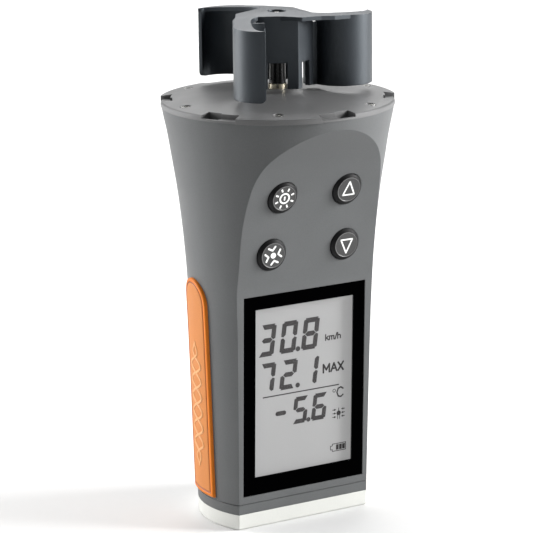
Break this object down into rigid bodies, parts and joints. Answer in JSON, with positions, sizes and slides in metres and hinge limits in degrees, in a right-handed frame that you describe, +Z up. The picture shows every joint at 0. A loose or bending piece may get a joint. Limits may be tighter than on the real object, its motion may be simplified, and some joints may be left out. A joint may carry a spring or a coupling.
{
  "type": "vane anemometer",
  "caption": "Hand-held wind meter with a horizontal-cup rotor on a flared grey case, display window, round buttons, rubber side grips and a white end cap.",
  "frame": {"origin": "on the rotor's axis, at the bottom face of the end cap", "axes": "+Z up along the rotor's axis, display facing -Y, +X to the right of someone facing the display"},
  "size_m": [0.0753, 0.075, 0.1648],
  "materials": {
    "case_grey": "fine matt texture",
    "cover_grey": "fine matt texture",
    "end_cap_white": "satin",
    "seal_black": "matt",
    "steel": "bright",
    "brass": "machined",
    "window_clear": "clear, polished",
    "mask_black": "printed black",
    "lcd_grey": "satin polariser",
    "rubber_internal": "matt",
    "plastic_internal": "moulded",
    "diffuser_white": "milky",
    "board_green": "solder mask",
    "button_black": "satin, printed white symbols",
    "chip_black": "moulded",
    "ribbon_brown": "film",
    "cell_jacket": "shrink film",
    "grip_orange": "soft satin",
    "sleeve_black": "polished",
    "rotor_charcoal": "fine matt moulding",
    "magnet_dark": "plated"
  },
  "bodies": {
    "case": {"body_shell": "case_grey", "base_plate": "case_grey", "base_seal": "seal_black", "base_cap": "end_cap_white", "base_screws": "steel", "tripod_insert": "brass", "display_window": "window_clear", "window_mask": "mask_black", "lcd_panel": "lcd_grey", "zebra_connectors": "rubber_internal", "lcd_frame": "plastic_internal", "backlight_diffuser": "diffuser_white", "keypad_board": "board_green", "keypad_mat": "rubber_internal", "dome_switches": "steel", "keypad_spacers": "plastic_internal", "main_board": "board_green", "board_screws": "steel", "processor_chip": "chip_black", "ribbon_connector": "plastic_internal", "sensor_ribbon": "ribbon_brown", "battery_holder": "plastic_internal", "battery_left": "cell_jacket", "battery_right": "cell_jacket", "battery_springs": "steel", "battery_contacts": "steel", "left_grip": "grip_orange", "right_grip": "grip_orange", "top_cover": "cover_grey", "top_seal": "seal_black", "top_cover_screws": "steel", "sensor_board": "board_green", "hall_sensor": "chip_black", "temperature_sensor": "chip_black", "axle_bush": "brass", "axle_collar": "brass", "axle_pin": "steel", "retaining_ring": "steel"},
    "rotor_body": {"rotor": "rotor_charcoal", "rotor_sleeve": "sleeve_black", "rotor_magnet": "magnet_dark"},
    "power_key": {"power_button": "button_black"},
    "average_key": {"average_button": "button_black"},
    "up_key": {"up_button": "button_black"},
    "down_key": {"down_button": "button_black"},
    "battery_door": {"battery_cover": "case_grey", "battery_cover_seal": "seal_black", "battery_cover_screw": "steel"}
  },
  "joints": [
    {"name": "rotor_spin", "type": "hinge", "parent": "case", "child": "rotor_body", "pos_m": [0, 0, 0.142], "axis": [0, 0, 1], "continuous": true},
    {"name": "power_press", "type": "slide", "parent": "case", "child": "power_key", "axis": [0, 1, 0], "range_m": [0, 0.0008], "stiffness_N_per_m": 1200, "springref_m": -0.0002},
    {"name": "average_press", "type": "slide", "parent": "case", "child": "average_key", "axis": [0, 1, 0], "range_m": [0, 0.0008], "stiffness_N_per_m": 1200, "springref_m": -0.0002},
    {"name": "up_press", "type": "slide", "parent": "case", "child": "up_key", "axis": [0, 1, 0], "range_m": [0, 0.0008], "stiffness_N_per_m": 1200, "springref_m": -0.0002},
    {"name": "down_press", "type": "slide", "parent": "case", "child": "down_key", "axis": [0, 1, 0], "range_m": [0, 0.0008], "stiffness_N_per_m": 1200, "springref_m": -0.0002},
    {"name": "battery_door_off", "type": "slide", "parent": "case", "child": "battery_door", "axis": [0, 1, 0], "range_m": [0, 0.03]}
  ]
}
